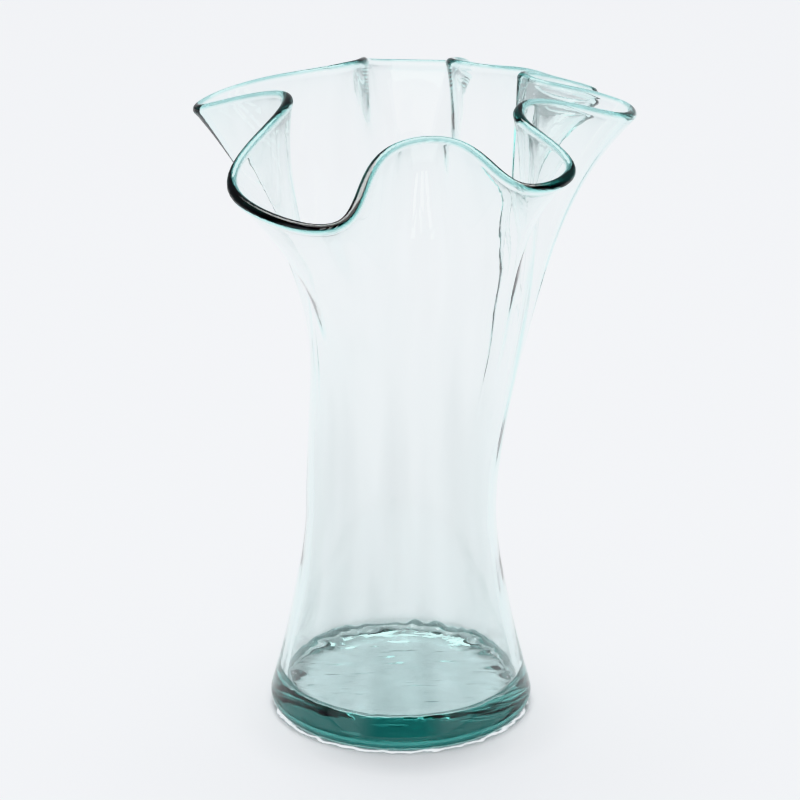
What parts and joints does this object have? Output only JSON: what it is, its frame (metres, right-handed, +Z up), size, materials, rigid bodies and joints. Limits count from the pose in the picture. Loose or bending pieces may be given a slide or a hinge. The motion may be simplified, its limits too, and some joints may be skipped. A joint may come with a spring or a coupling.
{
  "type": "fan vase",
  "caption": "Hand-blown glass vase for cut flowers, with a thick flat foot, a drawn-in waist and a flared, pleated mouth whose ruffled, beaded rim droops at its lobes.",
  "frame": {"origin": "centre of the flat underside of the foot", "axes": "+Z up from the foot to the mouth, -Y to the front as pictured, +X to the viewer's right"},
  "size_m": [0.1874, 0.2089, 0.276],
  "materials": {
    "glass": "fire-polished clear glass with a faint blue-green tint that deepens where it is thick"
  },
  "bodies": {
    "root": {"foot": "glass", "body": "glass", "throat": "glass", "fan": "glass", "rim": "glass"}
  },
  "joints": []
}
